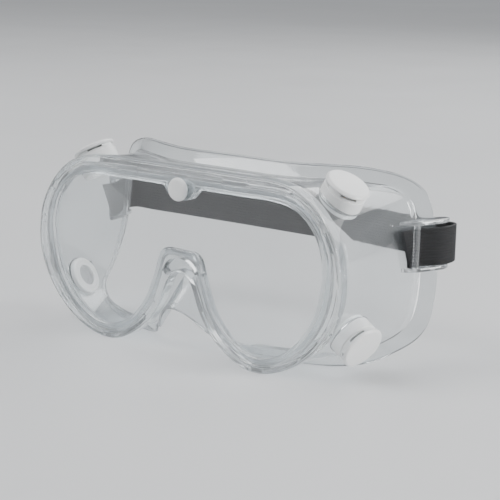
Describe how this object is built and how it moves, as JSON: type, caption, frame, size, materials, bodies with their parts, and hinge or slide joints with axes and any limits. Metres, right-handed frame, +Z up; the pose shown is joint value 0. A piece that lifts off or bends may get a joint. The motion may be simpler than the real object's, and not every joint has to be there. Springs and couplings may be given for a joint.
{
  "type": "safety goggles",
  "caption": "Wrap-round splash goggles: clear flexible frame gripping a flat clear lens with a nose notch, capped side vents and an elastic strap on side lugs.",
  "frame": {"origin": "centre of the bounding box at the level the goggles stand on", "axes": "+Z up, the lens faces -Y, +X towards the wearer's left"},
  "size_m": [0.184, 0.083, 0.0851],
  "materials": {
    "clear_pvc": "soft clear PVC, glossy",
    "clear_polycarbonate": "polished clear sheet",
    "white_plastic": "satin moulded",
    "grey_plastic": "satin moulded",
    "black_elastic": "ribbed woven elastic"
  },
  "bodies": {
    "goggle_body": {"pvc_frame": "clear_pvc", "lens": "clear_polycarbonate", "stud_retainer": "white_plastic", "strap_end_left": "black_elastic", "strap_end_right": "black_elastic"},
    "lens_stud": {"lens_stud": "white_plastic"},
    "headband": {"headband": "black_elastic"},
    "vent_upper_left": {"vent_base_upper_left": "white_plastic", "vent_ring_upper_left": "white_plastic", "vent_baffle_upper_left": "grey_plastic"},
    "vent_cap_upper_left": {"vent_cap_upper_left": "white_plastic"},
    "vent_upper_right": {"vent_base_upper_right": "white_plastic", "vent_ring_upper_right": "white_plastic", "vent_baffle_upper_right": "grey_plastic"},
    "vent_cap_upper_right": {"vent_cap_upper_right": "white_plastic"},
    "vent_lower_left": {"vent_base_lower_left": "white_plastic", "vent_ring_lower_left": "white_plastic", "vent_baffle_lower_left": "grey_plastic"},
    "vent_cap_lower_left": {"vent_cap_lower_left": "white_plastic"},
    "vent_lower_right": {"vent_base_lower_right": "white_plastic", "vent_ring_lower_right": "white_plastic", "vent_baffle_lower_right": "grey_plastic"},
    "vent_cap_lower_right": {"vent_cap_lower_right": "white_plastic"}
  },
  "joints": [
    {"name": "stud_pull", "type": "slide", "parent": "goggle_body", "child": "lens_stud", "axis": [0, -1, 0], "range_m": [0, 0.012]},
    {"name": "headband_stretch", "type": "slide", "parent": "goggle_body", "child": "headband", "axis": [0, 1, 0], "range_m": [0, 0.13], "stiffness_N_per_m": 30, "deforming": ["headband"]},
    {"name": "vent_spin_upper_left", "type": "hinge", "parent": "goggle_body", "child": "vent_upper_left", "pos_m": [0.0666, -0.0139, 0.0739], "axis": [0.4998, -0.03, 0.8656], "continuous": true},
    {"name": "cap_pull_upper_left", "type": "slide", "parent": "vent_upper_left", "child": "vent_cap_upper_left", "axis": [0.4998, -0.03, 0.8656], "range_m": [0, 0.008]},
    {"name": "vent_spin_upper_right", "type": "hinge", "parent": "goggle_body", "child": "vent_upper_right", "pos_m": [-0.0666, -0.0139, 0.0739], "axis": [-0.4998, -0.03, 0.8656], "continuous": true},
    {"name": "cap_pull_upper_right", "type": "slide", "parent": "vent_upper_right", "child": "vent_cap_upper_right", "axis": [-0.4998, -0.03, 0.8656], "range_m": [0, 0.008]},
    {"name": "vent_spin_lower_left", "type": "hinge", "parent": "goggle_body", "child": "vent_lower_left", "pos_m": [0.0764, -0.0167, 0.0175], "axis": [0.8605, -0.1701, -0.4803], "continuous": true},
    {"name": "cap_pull_lower_left", "type": "slide", "parent": "vent_lower_left", "child": "vent_cap_lower_left", "axis": [0.8605, -0.1701, -0.4803], "range_m": [0, 0.008]},
    {"name": "vent_spin_lower_right", "type": "hinge", "parent": "goggle_body", "child": "vent_lower_right", "pos_m": [-0.0764, -0.0167, 0.0175], "axis": [-0.8605, -0.1701, -0.4803], "continuous": true},
    {"name": "cap_pull_lower_right", "type": "slide", "parent": "vent_lower_right", "child": "vent_cap_lower_right", "axis": [-0.8605, -0.1701, -0.4803], "range_m": [0, 0.008]}
  ]
}
